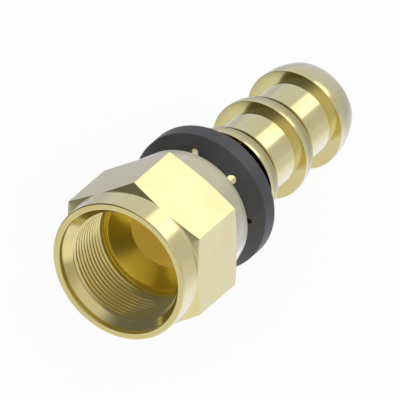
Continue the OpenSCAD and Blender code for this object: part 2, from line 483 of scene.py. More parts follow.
def brass_material(name, lacquered=True, walls=4, marks=None, depth=MARK_DEPTH, colour=None, deep=None,
                   mirrored=None, roughness=None):
    """Polished brass with turning marks, or with the marks, colour and roughness that are given.

    deep is the painted light that a ray finds after that many walls, a glow in place of further bounces, and
    mirrored the colour that other brass mirrors.
    """
    finish = bpy.context.scene.fitting_finish
    material, tree, shader = surface_material(
        name, marks or shared("Turning Marks", turning_marks_group), {},
        (colour, colour) if colour else (finish.brass, finish.warm_brass),
        roughness or finish.brass_roughness, spread=0.03, marks_share=0.6, bump=(0.25, depth))
    path = node(tree, "ShaderNodeLightPath").outputs
    if mirrored:
        change(tree, shader, "Base Color",
               lambda tone: colour_mix(tree, path["Is Glossy Ray"], tone, mirrored))
    # Painted light: a ray that has already met that many walls ends in a glow of one colour, which stands in
    # for further bounces, instead of black at its last bounce
    far = calc(tree, "GREATER_THAN", path["Glossy Depth"], walls - 0.5)
    change(tree, shader, "Base Color", lambda tone: colour_mix(tree, far, tone, (0, 0, 0)))
    shader.inputs["Emission Color"].default_value = (*(deep or finish.deep_brass), 1)
    tree.links.new(far, shader.inputs["Emission Strength"])
    shader.inputs["Metallic"].default_value = 1.0
    shader.inputs["Coat Weight"].default_value = finish.lacquer if lacquered else 0.0
    shader.inputs["Coat Roughness"].default_value = 0.06
    shader.inputs["Coat IOR"].default_value = 1.5
    return material


def open_to_mirror(material, inside_only=False, reach=1.0, share=1.0):
    """Lets a share of the first mirrored rays pass, so that a surface in front mirrors this one less.

    They pass where they are shorter than reach or, with inside_only, where they come from inside.
    """
    tree = material.node_tree
    path = node(tree, "ShaderNodeLightPath").outputs
    # The first mirrored ray has a glossy depth of 1
    passes = calc(tree, "MULTIPLY", path["Is Glossy Ray"],
                  calc(tree, "LESS_THAN", path["Glossy Depth"], 1.5))
    if inside_only:
        passes = calc(tree, "MULTIPLY", passes, node(tree, "ShaderNodeNewGeometry").outputs["Backfacing"])
    else:
        passes = calc(tree, "MULTIPLY", passes, calc(tree, "LESS_THAN", path["Ray Length"], reach))
    tree.links.new(calc(tree, "MULTIPLY_ADD", passes, -share, 1.0),
                   tree.nodes["Principled BSDF"].inputs["Alpha"])
    return material


def turned_brass():
    """Bare turned brass of the mouth and the other inner surfaces."""
    return brass_material("turned_brass", lacquered=False, walls=2)


def thread_brass():
    """Bare turned brass of the thread, with painted shade in its grooves: the light it glows with there is
    darker than across the mouth.
    """
    finish = bpy.context.scene.fitting_finish
    material = brass_material("thread_brass", lacquered=False, walls=2, depth=FINE_DEPTH)
    tree = material.node_tree
    length = node(tree, "ShaderNodeLightPath").outputs["Ray Length"]
    # Painted shade: a short ray has stayed in a groove and ends in the darker glow
    deep = colour_mix(tree, calc(tree, "GREATER_THAN", length, GROOVE_REACH),
                      finish.groove_brass, finish.thread_deep)
    tree.links.new(deep, tree.nodes["Principled BSDF"].inputs["Emission Color"])
    return material


def seat_brass():
    """Brass of the conical seat with a painted reflection: its deeper gold stands in for light mirrored to
    and fro inside, and other brass mirrors it in plain brass.
    """
    finish = bpy.context.scene.fitting_finish
    return brass_material("seat_brass", lacquered=False, walls=2, depth=FINE_DEPTH,
                          colour=finish.seat_brass, deep=finish.seat_deep, mirrored=finish.brass,
                          roughness=finish.bore_roughness)


def bore_brass():
    """Bare brass of the flow bore."""
    finish = bpy.context.scene.fitting_finish
    return brass_material("bore_brass", lacquered=False, walls=2, depth=BORE_DEPTH,
                          colour=finish.bore_brass, deep=finish.bore_deep,
                          roughness=finish.bore_roughness)


def bar_brass():
    """Brass with the straight grain of drawn bar."""
    grain = shared("Drawn Bar Grain", bar_grain_group)
    return open_to_mirror(brass_material("bar_brass", marks=grain), inside_only=True)


def outer_brass():
    """Turned brass of the outer surfaces."""
    return open_to_mirror(brass_material("outer_brass"), inside_only=True)


def face_brass():
    """Turned brass of the barb faces and the nut's shoulders, which stand behind a plain surface."""
    return open_to_mirror(brass_material("face_brass"), reach=FACE_REACH)


def back_brass_painted_shade():
    """Brass of the backs of the first barbs, with painted shade towards the valley: darker colour and less
    lacquer there.
    """
    scene = bpy.context.scene
    finish = scene.fitting_finish
    material = brass_material("back_brass_painted_shade")
    tree = material.node_tree
    shader = tree.nodes["Principled BSDF"]
    along = axes_of(tree, object_place(tree))["X"]
    behind = calc(tree, "MODULO", calc(tree, "SUBTRACT", along, FIRST_BARB_X),
                  barb_pitch(scene.fitting_tail))
    low = ramp(tree, behind, *VALLEY_SHADE_RAMP)
    # Painted shade: the colour darkens and the lacquer thins towards the valley in front of the next barb
    change(tree, shader, "Base Color",
           lambda tone: colour_mix(tree, low, tone, finish.back_tint, "MULTIPLY"))
    shaded_coat = calc(tree, "MULTIPLY_ADD", low, -VALLEY_SHADE_LACQUER_CUT * finish.lacquer, finish.lacquer)
    tree.links.new(shaded_coat, shader.inputs["Coat Weight"])
    return open_to_mirror(material, inside_only=True)


def shaded_brass():
    """Brass of the first barb's face, with painted shade: dark towards -Y, where it lies deep in the
    collar's shade.
    """
    finish = bpy.context.scene.fitting_finish
    material = brass_material("shaded_brass")
    tree = material.node_tree
    shader = tree.nodes["Principled BSDF"]
    shade = ramp(tree, axes_of(tree, object_place(tree))["Y"], SHADE_SIDE, 0.0)
    change(tree, shader, "Base Color", lambda tone: colour_mix(tree, shade, tone, finish.shaded))
    # The painted shade also takes the lacquer away, so the dark face mirrors less
    gloss = calc(tree, "SUBTRACT", finish.lacquer, calc(tree, "MULTIPLY", shade, finish.lacquer))
    tree.links.new(gloss, shader.inputs["Coat Weight"])
    return open_to_mirror(material, reach=FACE_REACH)


def moulded_plastic():
    """Black plastic with a fine satin grain, which the skirt in front of it hardly mirrors."""
    finish = bpy.context.scene.fitting_finish
    material, _, _ = surface_material(
        "moulded_plastic", shared("Moulded Grain", fine_grain_group), {"Patches per Metre": 260.0},
        (finish.plastic, [1.25 * part for part in finish.plastic]), finish.plastic_roughness,
        spread=0.06, marks_share=0.5, bump=(0.3, GRAIN_DEPTH))
    return open_to_mirror(material, share=COLLAR_LEFT_OUT)


# Profiles, as lists of (place along X, radius)

def arc(x, r, radius, start, end, steps=EDGE_STEPS):
    """Points of an arc round (x, r). The angles are in degrees from the direction out of the axis."""
    turns = [math.radians(start + (end - start) * i / steps) for i in range(steps + 1)]
    return [(x + radius * math.sin(t), r + radius * math.cos(t)) for t in turns]


def eased(before, corner, after, radius, steps=EDGE_STEPS):
    """Points that round a corner of a profile with an arc of about that radius."""
    corner = Vector(corner)
    to_before, to_after = Vector(before) - corner, Vector(after) - corner
    half = to_before.angle(to_after) / 2
    # An arc takes up less than half of the shorter side
    reach = min(radius / math.tan(half), 0.45 * to_before.length, 0.45 * to_after.length)
    start = corner + to_before.normalized() * reach
    end = corner + to_after.normalized() * reach
    parts = [i / steps for i in range(steps + 1)]
    return [tuple(start * (1 - t) ** 2 + corner * 2 * t * (1 - t) + end * t ** 2) for t in parts]


def eased_loop(corners):
    """A closed profile from (point, radius) pairs, each corner eased by its radius unless that is 0."""
    result = []
    for i, (corner, radius) in enumerate(corners):
        if radius:
            result += eased(corners[i - 1][0], corner, corners[(i + 1) % len(corners)][0], radius)
        else:
            result.append(corner)
    return result


def curved_back(x, r, curve, length):
    """Points of an arc that leaves the axis direction at (x, r) and curves inwards."""
    total = math.asin(length / curve)
    turns = [total * i / BACK_STEPS for i in range(BACK_STEPS + 1)]
    return [(x + curve * math.sin(t), r - curve * (1 - math.cos(t))) for t in turns]


# Meshes

def turned_mesh(name, profiles, angles, makers, finish_of=None):
    """Joins closed profiles, one at each angle round X, into a closed skin with its faces outwards.

    makers are the functions of its materials, and finish_of gives the one for a row of faces.
    """
    rows, turns = len(profiles[0]), len(angles)
    vertices = [
        (profiles[j][i][0], profiles[j][i][1] * math.sin(angles[j]), profiles[j][i][1] * math.cos(angles[j]))
        for i in range(rows) for j in range(turns)]
    faces = []
    for i in range(rows):
        below = (i + 1) % rows
        for j in range(turns):
            beside = (j + 1) % turns
            faces.append((i * turns + j, below * turns + j, below * turns + beside, i * turns + beside))
    mesh = bpy.data.meshes.new(name)
    mesh.from_pydata(vertices, [], faces)
    for maker in makers:
        mesh.materials.append(shared(maker.__name__, maker))
    if finish_of:
        slots = [makers.index(finish_of(row)) for row in range(rows)]
        for index, polygon in enumerate(mesh.polygons):
            polygon.material_index = slots[index // turns]
    return mesh


def lathe(name, profile, makers, finish_of=None):
    """A closed profile turned round the X axis."""
    angles = [math.tau * j / TURN_STEPS for j in range(TURN_STEPS)]
    return turned_mesh(name, [profile] * TURN_STEPS, angles, makers, finish_of)


def new_object(name, data):
    """An object in the scene with that data."""
    made = bpy.data.objects.new(name, data)
    bpy.context.scene.collection.objects.link(made)
    return made


def add_piece(name, mesh, body, replaced=()):
    """Puts a finished mesh in the scene, smooth but for its sharp edges, and rides it on its body."""
    mesh.polygons.foreach_set("use_smooth", [True] * len(mesh.polygons))
    mesh.set_sharp_from_angle(angle=SHARP_ANGLE)
    piece = new_object(name, mesh)
    piece.modifiers.new("Weighted Normals", "WEIGHTED_NORMAL").keep_sharp = True
    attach(piece, body)
    if replaced:
        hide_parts(*replaced)


def grown_mesh(name, tree, values, start=None):
    """The plain mesh that a Geometry Nodes tree makes from its inputs and an optional start mesh."""
    carrier = new_object(name, start or bpy.data.meshes.new(name + "_start"))
    modifier = carrier.modifiers.new("Grow", "NODES")
    modifier.node_group = tree
    sockets = {s.name: s.identifier for s in tree.interface.items_tree
               if s.item_type == "SOCKET" and s.in_out == "INPUT"}
    for key, value in values.items():
        modifier[sockets[key]] = value
    depsgraph = bpy.context.evaluated_depsgraph_get()
    mesh = bpy.data.meshes.new_from_object(
        carrier.evaluated_get(depsgraph), preserve_all_data_layers=True, depsgraph=depsgraph)
    mesh.name = name
    carrier.modifiers.remove(modifier)
    bpy.data.objects.remove(carrier)
    return mesh


# Geometry Nodes trees

def shifted(tree, geometry, x, turn):
    """Geometry that is turned round the origin and then moved along X."""
    return node(tree, "GeometryNodeTransform", {
        "Geometry": geometry, "Translation": vector_of(tree, X=x), "Rotation": turn}).outputs[0]


def end_dressed(tree, geometry, given, out):
    """Ends a tree: makes its instances real and sets its material."""
    real = node(tree, "GeometryNodeRealizeInstances", {"Geometry": geometry})
    dressed = node(tree, "GeometryNodeSetMaterial",
                   {"Geometry": real.outputs[0], "Material": given["Material"]})
    tree.links.new(dressed.outputs[0], out["Geometry"])
    return tree


def thread_tree():
    """A helical ridge along X inside a wall, trimmed by a 45 degree cone at each end."""
    tree, given, out = new_group(
        "GeometryNodeTree", "Inside Thread",
        [("Root Radius", "Float", 0.009), ("Depth", "Float", 0.0004), ("Pitch", "Float", 0.0008),
         ("Start", "Float", 0.0), ("Length", "Float", 0.0075), ("Root Flat", "Float", 0.0001),
         ("Flank Angle", "Float", 0.52), ("Seat In", "Float", 0.00003), ("Steps", "Int", 120),
         ("First Angle", "Float", 0.0), ("Material", "Material", None)],
        [("Geometry", "Geometry")])
    # Two turns more than the length, so that both ends run into the cones
    height = calc(tree, "MULTIPLY_ADD", given["Pitch"], 2.0, given["Length"])
    turns = calc(tree, "DIVIDE", height, given["Pitch"])
    tall = calc(tree, "ADD", given["Depth"], given["Seat In"])
    middle = calc(tree, "SUBTRACT", calc(tree, "ADD", given["Root Radius"], given["Seat In"]),
                  calc(tree, "MULTIPLY", tall, 0.5))
    helix = node(tree, "GeometryNodeCurveSpiral",
                 {"Resolution": given["Steps"], "Rotations": turns, "Start Radius": middle,
                  "End Radius": middle, "Height": height, "Reverse": True})
    upright = node(tree, "GeometryNodeSetCurveNormal", {"Curve": helix.outputs[0]}, mode="Z_UP")
    slope = calc(tree, "TANGENT", given["Flank Angle"])
    foot = calc(tree, "MULTIPLY_ADD", calc(tree, "MULTIPLY", slope, given["Seat In"]), 2.0,
                calc(tree, "SUBTRACT", given["Pitch"], given["Root Flat"]))
    crest = calc(tree, "SUBTRACT", foot, calc(tree, "MULTIPLY", calc(tree, "MULTIPLY", slope, tall), 2.0))
    section = node(tree, "GeometryNodeCurvePrimitiveQuadrilateral",
                   {"Height": tall, "Bottom Width": foot, "Top Width": crest, "Offset": 0.0},
                   mode="TRAPEZOID")
    turned = node(tree, "GeometryNodeTransform",
                  {"Geometry": section.outputs[0], "Rotation": (0.0, 0.0, math.pi / 2)})
    divided = node(tree, "GeometryNodeSubdivideCurve", {"Curve": turned.outputs[0], "Cuts": 3})
    ridge = node(tree, "GeometryNodeCurveToMesh",
                 {"Curve": upright.outputs[0], "Profile Curve": divided.outputs[0], "Fill Caps": True})
    # The helix stands on Z: this lays it along X, with its first turn in front of the thread
    laid = shifted(tree, ridge.outputs[0], calc(tree, "ADD", given["Length"], given["Pitch"]), ALONG_X)
    axes = axes_of(tree, node(tree, "GeometryNodeInputPosition").outputs[0])
    radius = from_axis(tree, axes)
    edge = calc(tree, "ADD", given["Root Radius"], calc(tree, "MULTIPLY", given["Seat In"], 0.5))
    front = calc(tree, "SUBTRACT", edge, axes["X"])
    rear = calc(tree, "SUBTRACT", edge, calc(tree, "SUBTRACT", given["Length"], axes["X"]))
    least = calc(tree, "MAXIMUM", front, rear)
    # Nothing goes deeper into the metal than the foot of the ridges
    deepest = calc(tree, "ADD", given["Root Radius"], given["Seat In"])
    kept = calc(tree, "MINIMUM", calc(tree, "MAXIMUM", radius, least), calc(tree, "MAXIMUM", deepest, least))
    share = calc(tree, "DIVIDE", kept, radius)
    moved = vector_of(tree, X=axes["X"], Y=calc(tree, "MULTIPLY", axes["Y"], share),
                      Z=calc(tree, "MULTIPLY", axes["Z"], share))
    trimmed = node(tree, "GeometryNodeSetPosition", {"Geometry": laid, "Position": moved})
    placed = shifted(tree, trimmed.outputs[0], given["Start"], vector_of(tree, X=given["First Angle"]))
    return end_dressed(tree, placed, given, out)


def window_tree():
    """Cuts a circle of round holes along X through a mesh."""
    tree, given, out = new_group(
        "GeometryNodeTree", "Circle of Windows",
        [("Geometry", "Geometry", None), ("Count", "Int", 8), ("Circle Radius", "Float", 0.0088),
         ("Window Radius", "Float", 0.0008), ("First Angle", "Float", 0.5), ("Middle", "Float", 0.02),
         ("Depth", "Float", 0.006), ("Material", "Material", None)],
        [("Geometry", "Geometry")])
    places = node(tree, "GeometryNodeMeshCircle",
                  {"Vertices": given["Count"], "Radius": given["Circle Radius"]})
    started = node(tree, "GeometryNodeTransform",
                   {"Geometry": places.outputs[0], "Rotation": vector_of(tree, Z=given["First Angle"])})
    drill = node(tree, "GeometryNodeMeshCylinder",
                 {"Vertices": 48, "Radius": given["Window Radius"], "Depth": given["Depth"]})
    drills = node(tree, "GeometryNodeInstanceOnPoints",
                  {"Points": started.outputs[0], "Instance": drill.outputs[0]})
    solid = node(tree, "GeometryNodeRealizeInstances", {"Geometry": drills.outputs[0]})
    laid = shifted(tree, solid.outputs[0], given["Middle"], ALONG_X)
    cut = node(tree, "GeometryNodeMeshBoolean", {"Mesh 1": given["Geometry"], "Mesh 2": laid},
               operation="DIFFERENCE", solver="EXACT")
    return end_dressed(tree, cut.outputs[0], given, out)


# Pieces

def hexagon_columns(nut):
    """Angles round X and the hexagon's radius at each, with a small arc at every corner."""
    columns = []
    half_side = math.radians(30)
    ease = nut.corner_edge
    # The centre of a corner's arc lies this far out, and the arc spans 60 degrees
    centre = nut.flat_radius / math.cos(half_side) - ease / math.cos(half_side)
    reach = nut.flat_radius * math.tan(half_side) - ease * math.tan(half_side)
    for side in range(6):
        middle = math.radians(60 * side)
        for i in range(SIDE_STEPS + 1):
            across = reach * (2 * i / SIDE_STEPS - 1)
            columns.append((middle + math.atan2(across, nut.flat_radius),
                            math.hypot(across, nut.flat_radius)))
        corner = middle + half_side
        for i in range(1, EDGE_STEPS):
            turn = math.radians(-30 + 60 * i / EDGE_STEPS)
            out_y, out_x = ease * math.sin(turn), centre + ease * math.cos(turn)
            columns.append((corner + math.atan2(out_y, out_x), math.hypot(out_y, out_x)))
    return columns


def nut_column(nut, hexagon):
    """Closed profile of the nut where its hexagon has that radius, and the brass of its rows."""
    start, end = NUT_LO.x, NUT_HI.x
    nose = nut.flat_radius - nut.nose_step
    slope = math.tan(nut.chamfer)
    hex_start = start + nut.nose_length
    hex_end = end - nut.skirt_length
    # Outside: the rim's edge, the nose and its fillet, as far out as the hexagon lets it
    rows = arc(start + nut.edge, nose - nut.edge, nut.edge, -90, 0, RIM_STEPS)
    fillet = nut.nose_fillet
    fillet_x = hex_start - fillet / math.cos(nut.chamfer) * (1 - math.sin(nut.chamfer))
    drop = min(1.0, (nose + fillet - hexagon) / fillet)
    last = max(math.radians(90) + nut.chamfer, math.acos(-drop) if drop > 0 else 0.0)
    rows += arc(fillet_x, nose + fillet, fillet, 180, math.degrees(last), FILLET_STEPS)
    before = rows[-1]
    shoulder = len(rows) - 1
    front = (hex_start + (hexagon - nose) * slope, hexagon)
    rear = (hex_end - (hexagon - nose) * slope, hexagon)
    foot = (hex_end, nose)
    if hexagon > before[1] + SAME_RADIUS:
        rows += eased(before, front, rear, nut.corner_edge)
    else:
        front = before
        rows += [before] * (EDGE_STEPS + 1)
    first_flat = len(rows) - 1
    rows += eased(front, rear, foot, nut.corner_edge)
    rear_shoulder = len(rows) - 1
    skirt_end = (end, nut.skirt_end_radius)
    rows += eased(rear, foot, skirt_end, nut.corner_edge)
    rows += eased(foot, skirt_end, (end, nut.hole_radius), nut.skirt_edge, RIM_STEPS)
    outer = len(rows) - 1
    # Inside, from the back hole to the mouth
    relief = nut.thread_radius + nut.relief_depth
    root = nut.thread_radius + nut.root_depth
    rows += [(end, nut.hole_radius + nut.edge), (end - nut.edge, nut.hole_radius),
             (nut.shoulder_x, nut.hole_radius), (nut.shoulder_x, relief),
             (nut.thread_length + nut.relief_depth, relief), (nut.thread_length + nut.root_depth, root),
             (-nut.root_depth, root)]
    thread_rows = range(len(rows) - 3, len(rows) - 1)
    mouth_floor, mouth_rim = (start + nut.mouth_depth, nut.mouth_radius), (start, nut.mouth_radius)
    rows += eased(rows[-1], mouth_floor, mouth_rim, nut.mouth_edge)
    rows += eased(mouth_floor, mouth_rim, (start, nose), nut.rim_edge)
    finishes = {row: outer_brass for row in range(outer)}
    finishes.update({row: thread_brass for row in thread_rows})
    finishes.update({row: face_brass for row in [*range(shoulder - 1, first_flat), rear_shoulder]})
    finishes[first_flat] = bar_brass
    return rows, finishes


class FITTING_OT_swivel_nut(Operator):
    """Builds the hexagon swivel nut"""

    bl_idname = "fitting.swivel_nut"
    bl_label = "Swivel Nut"

    def execute(self, context):
        nut = context.scene.fitting_nut
        columns = hexagon_columns(nut)
        shaped = [nut_column(nut, radius) for _, radius in columns]
        finishes = shaped[0][1]
        mesh = turned_mesh(
            "swivel_nut_skin", [rows for rows, _ in shaped], [angle for angle, _ in columns],
            [turned_brass, bar_brass, face_brass, outer_brass, thread_brass],
            lambda row: finishes.get(row, turned_brass))
        add_piece("nut_skin", mesh, "nut", ["swivel_nut"])
        return {"FINISHED"}


class FITTING_OT_nut_thread(Operator):
    """Builds the ridges of the nut's inside thread"""

    bl_idname = "fitting.nut_thread"
    bl_label = "Nut Thread"

    def execute(self, context):
        nut = context.scene.fitting_nut
        thread = context.scene.fitting_thread
        mesh = grown_mesh("nut_thread", thread_tree(), {
            "Root Radius": nut.thread_radius + nut.root_depth, "Depth": thread.depth,
            "Pitch": thread.pitch, "Start": -nut.root_depth,
            "Length": nut.thread_length + 2 * nut.root_depth, "Root Flat": thread.root_flat,
            "Flank Angle": thread.flank, "Seat In": thread.seat_in, "Steps": thread.steps,
            "First Angle": thread.first_angle,
            "Material": shared("thread_brass", thread_brass)})
        add_piece("nut_thread", mesh, "nut")
        return {"FINISHED"}


def barb_pitch(tail):
    """Distance from one barb's crest to the next."""
    return (HOSE_LENGTH - tail.barb_land) / (tail.barb_count - 1)


def tail_profile(tail, ring_wall):
    """Closed profile of the tailpiece: the outside from the seat to the hose end, then the bore."""
    seat_x, end = TAIL_LO.x, TAIL_HI.x
    head, neck, shank, crest = tail.head_radius, tail.neck_radius, tail.shank_radius, tail.barb_radius
    seat = head - tail.head_edge - tail.seat_rim
    head_back = seat_x + tail.head_length
    land = tail.land_radius
    bead_x = RING_LO.x + ring_wall + RING_PLAY
    bead_end = bead_x + tail.bead_length
    bead = land + tail.bead_height
    small = tail.crest_edge
    corners = [
        ((seat_x, seat), small), ((seat_x, head - tail.head_edge), 0), ((seat_x + tail.head_edge, head), 0),
        ((head_back, head), small), ((head_back, neck), 0), ((RING_LO.x, neck), small),
        ((RING_LO.x, land), 0), ((bead_x, land), 0), ((bead_x, bead), small),
        ((bead_end, bead), small), ((bead_end + bead - shank, shank), 0)]
    back = math.sqrt(tail.barb_curve ** 2 - (tail.barb_curve - (crest - shank)) ** 2)
    for i in range(tail.barb_count):
        x = FIRST_BARB_X + i * barb_pitch(tail)
        corners += [((x - tail.barb_lean, shank), 0), ((x, crest), small)]
        if i < tail.barb_count - 1:
            corners += [(p, 0) for p in curved_back(x + tail.barb_land, crest, tail.barb_curve, back)]
    tip = tail.tip_round
    reach = end - x - tail.barb_land - tip
    backs = curved_back(x + tail.barb_land, crest, tail.tip_curve, reach)
    lean = math.degrees(math.asin(reach / tail.tip_curve))
    rounding = arc(end - tip, backs[-1][1] - tip, tip, lean, 90)[1:]
    corners += [(p, 0) for p in backs + rounding]
    corners += [((end, tail.bore_radius + tail.bore_edge), small),
                ((end - tail.bore_edge, tail.bore_radius), small),
                ((BORE_X - BORE_LENGTH / 2, tail.bore_radius), small)]
    return eased_loop(corners)


class FITTING_OT_tailpiece(Operator):
    """Builds the turned tailpiece with its barbs, seat and bore"""

    bl_idname = "fitting.tailpiece"
    bl_label = "Tailpiece"

    def execute(self, context):
        tail = context.scene.fitting_tail
        profile = tail_profile(tail, context.scene.fitting_collar.cone_wall)
        last_face = LAST_BARB_X - tail.barb_land - tail.barb_lean

        def finish_of(row):
            """Brass of the surface between a row and the next."""
            (x0, r0), (x1, r1) = profile[row], profile[(row + 1) % len(profile)]
            if max(r0, r1) < tail.bore_radius + tail.bore_edge / 4:
                return bore_brass
            if x0 < TAIL_LO.x + tail.head_length and (
                    x1 < x0 or max(x0, x1) < TAIL_LO.x + tail.head_edge / 2):
                return seat_brass
            if min(x0, x1) < RING_HI.x:
                return turned_brass
            if r1 - r0 > abs(x1 - x0):
                return shaded_brass if x1 < FIRST_BARB_X + tail.barb_land else face_brass
            if r0 > r1 and FIRST_BARB_X < x0 < last_face:
                return back_brass_painted_shade
            return outer_brass

        brasses = [turned_brass, seat_brass, bore_brass, outer_brass, face_brass, shaded_brass, back_brass_painted_shade]
        mesh = lathe("tailpiece_skin", profile, brasses, finish_of)
        add_piece("tail_skin", mesh, "tail", ["tailpiece"])
        return {"FINISHED"}


def collar_profile(collar):
    """Closed profile of the collar: hub, cone and band, then the inside of the cup."""
    front, end = RING_LO.x, RING_HI.x
    band, hub, edge = collar.band_radius, collar.hub_radius, collar.edge
    cone_end = end - collar.band_length
    slope = (cone_end - front) / (band - hub)
    cup = band - collar.band_wall
    back = front + collar.cone_wall
    rows = eased_loop([
        ((front, collar.hole_radius), 0), ((front, hub), edge), ((cone_end, band), edge),
        ((end, band), edge), ((end, cup), edge), ((back + (cup - hub) * slope, cup), edge),
        ((back, hub), edge), ((back, collar.hole_radius), 0)])
    # Extra rows across the long walls keep the faces round the windows small
    spaced = []
    for i, point in enumerate(rows):
        here, after = Vector(point), Vector(rows[(i + 1) % len(rows)])
        count = max(1, round((after - here).length / COLLAR_ROW))
        spaced += [tuple(here.lerp(after, k / count)) for k in range(count)]
    return spaced


class FITTING_OT_collar(Operator):
    """Builds the plastic collar with its circle of windows"""

    bl_idname = "fitting.collar"
    bl_label = "Collar"

    def execute(self, context):
        collar = context.scene.fitting_collar
        plain = lathe("collar_plain", collar_profile(collar), [moulded_plastic])
        mesh = grown_mesh("collar_skin", window_tree(), {
            "Count": collar.window_count, "Circle Radius": collar.window_circle,
            "Window Radius": collar.window_radius, "First Angle": collar.window_start,
            "Middle": (RING_LO.x + RING_HI.x) / 2, "Depth": 2 * (RING_HI.x - RING_LO.x),
            "Material": shared("moulded_plastic", moulded_plastic)}, plain)
        add_piece("collar_skin", mesh, "tail", ["collar_ring"])
        return {"FINISHED"}


# Stage

CARD_INPUTS = [("Vector", "Vector", None), ("Below", "Color", (0.5, 0.5, 0.5, 1.0)),
               ("Direction", "Vector", (1.0, 0.0, 0.0)), ("Level", "Color", (1.0, 1.0, 1.0, 1.0))]


def soft_card_group():
    """Paints a round card over a colour. The card is full inside one angle and gone outside another."""
    tree, given, out = new_group(
        "ShaderNodeTree", "Soft Card", CARD_INPUTS + [("Inner", "Float", 0.2), ("Outer", "Float", 0.5)],
        [("Color", "Color")])
    towards = vector_calc(tree, "NORMALIZE", given["Direction"])[0]
    cosine = vector_calc(tree, "DOT_PRODUCT", given["Vector"], towards)["Value"]
    share = ramp(tree, cosine, calc(tree, "COSINE", given["Outer"]), calc(tree, "COSINE", given["Inner"]),
                 interpolation_type="SMOOTHSTEP")
    tree.links.new(colour_mix(tree, share, given["Below"], given["Level"]), out["Color"])
    return tree


def soft_box_group():
    """Paints a rectangular card over a colour. Its sizes are tangents of half its angles."""
    tree, given, out = new_group(
        "ShaderNodeTree", "Soft Box", CARD_INPUTS + [
            ("Half Width", "Float", 0.2), ("Half Height", "Float", 0.2), ("Edge", "Float", 0.03)],
        [("Color", "Color")])
    towards = vector_calc(tree, "NORMALIZE", given["Direction"])[0]
    across = vector_calc(tree, "CROSS_PRODUCT", (0.0, 0.0, 1.0), towards)[0]
    across = vector_calc(tree, "NORMALIZE", across)[0]
    upward = vector_calc(tree, "CROSS_PRODUCT", towards, across)[0]
    depth, side, rise = [vector_calc(tree, "DOT_PRODUCT", given["Vector"], axis)["Value"]
                         for axis in (towards, across, upward)]
    # Behind the card the depth is negative, and a small one in its place leaves nothing inside
    safe = calc(tree, "MAXIMUM", depth, 0.01)
    share = 1.0
    for place, size in ((side, given["Half Width"]), (rise, given["Half Height"])):
        reach = calc(tree, "ABSOLUTE", calc(tree, "DIVIDE", place, safe))
        inside = ramp(tree, reach, calc(tree, "SUBTRACT", size, given["Edge"]),
                      calc(tree, "ADD", size, given["Edge"]), 1.0, 0.0, interpolation_type="SMOOTHSTEP")
        share = calc(tree, "MULTIPLY", inside, share)
    tree.links.new(colour_mix(tree, share, given["Below"], given["Level"]), out["Color"])
    return tree


# Cards round the object that only its shiny surfaces see, each painted over the ones before it:
# name, direction, inner and outer angle in degrees, level
CARDS = [
    ("pale table on the right", (0.35, -0.65, -0.68), 25, 48, (1.0, 1.01, 1.15)),
    ("pale table on the left", (-0.55, -0.30, -0.78), 35, 50, (0.92, 0.92, 0.92)),
    ("dark room behind", (-0.35, 0.93, 0.10), 25, 65, (0.15, 0.15, 0.15)),
    ("dark room on the left", (-0.90, 0.42, -0.15), 12, 50, (0.15, 0.15, 0.15)),
    ("near edge of the table", (-0.75, 0.09, -0.65), 9, 17, (0.77, 0.77, 0.72)),
    ("dim near wall", (-0.15, -0.85, 0.50), 10, 40, (0.41, 0.39, 0.30)),
    ("near right of the table", (-0.42, -0.90, -0.12), 8, 22, (0.96, 0.94, 0.84)),
    ("cool far wall", (1.0, 0.05, 0.0), 30, 45, (0.65, 0.68, 0.85)),
    ("dim right wall", (0.79, -0.47, 0.40), 5, 18, (0.61, 0.61, 0.63)),
    ("dim far right", (0.94, -0.33, 0.05), 5, 22, (0.53, 0.57, 0.70)),
    ("far edge of the table", (0.87, -0.02, -0.49), 5, 13, (1.08, 1.08, 1.12)),
    ("cool far left", (0.75, 0.55, -0.38), 8, 20, (0.56, 0.57, 0.60)),
    ("ceiling", (0.38, -0.02, 0.92), 8, 22, (1.5, 1.5, 1.5)),
]
# Soft boxes over the hose end: name, direction, half width and height as tangents, edge, level
SOFT_BOXES = [
    ("long ceiling light", (0.22, 0.0, 0.97), 1.5, 0.12, 0.05, (1.35, 1.35, 1.30)),
    ("soft box", (0.62, 0.01, 0.79), 0.26, 0.277, 0.05, (1.42, 1.42, 1.42)),
    ("bright middle of the soft box", (0.62, -0.09, 0.79), 0.13, 0.265, 0.07, (1.72, 1.72, 1.72)),
]


def build_world(stage):
    """White for the camera and behind glass, the carded surround for gloss, even light elsewhere."""
    world = bpy.data.worlds.new("studio")
    bpy.context.scene.world = world
    tree = cleared_tree(world)
    direction = node(tree, "ShaderNodeTexCoord").outputs["Generated"]
    round_card, box_card = soft_card_group(), soft_box_group()
    cards = [(round_card, name, towards, level, {"Inner": math.radians(inner), "Outer": math.radians(outer)})
             for name, towards, inner, outer, level in CARDS]
    cards += [(box_card, name, towards, level, {"Half Width": width, "Half Height": height, "Edge": edge})
              for name, towards, width, height, edge, level in SOFT_BOXES]
    colour = (stage.surround, stage.surround, stage.surround, 1)
    for group, name, towards, level, sizes in cards:
        colour = use_group(tree, group, {"Vector": direction, "Below": colour, "Direction": towards,
                                         "Level": (*level, 1), **sizes}, name)["Color"]
    path = node(tree, "ShaderNodeLightPath").outputs
    surround = node(tree, "ShaderNodeBackground", {"Color": colour, "Strength": 1.0})
    even = node(tree, "ShaderNodeBackground", {"Color": (1, 1, 1, 1), "Strength": stage.level})
    white = node(tree, "ShaderNodeBackground", {"Color": (1, 1, 1, 1), "Strength": 1.0})
    lit = node(tree, "ShaderNodeMixShader",
               {0: path["Is Glossy Ray"], 1: even.outputs[0], 2: surround.outputs[0]})
    seen = calc(tree, "MAXIMUM", path["Is Camera Ray"], path["Is Transmission Ray"])
    final = node(tree, "ShaderNodeMixShader", {0: seen, 1: lit.outputs[0], 2: white.outputs[0]})
    node(tree, "ShaderNodeOutputWorld", {"Surface": final.outputs[0]})


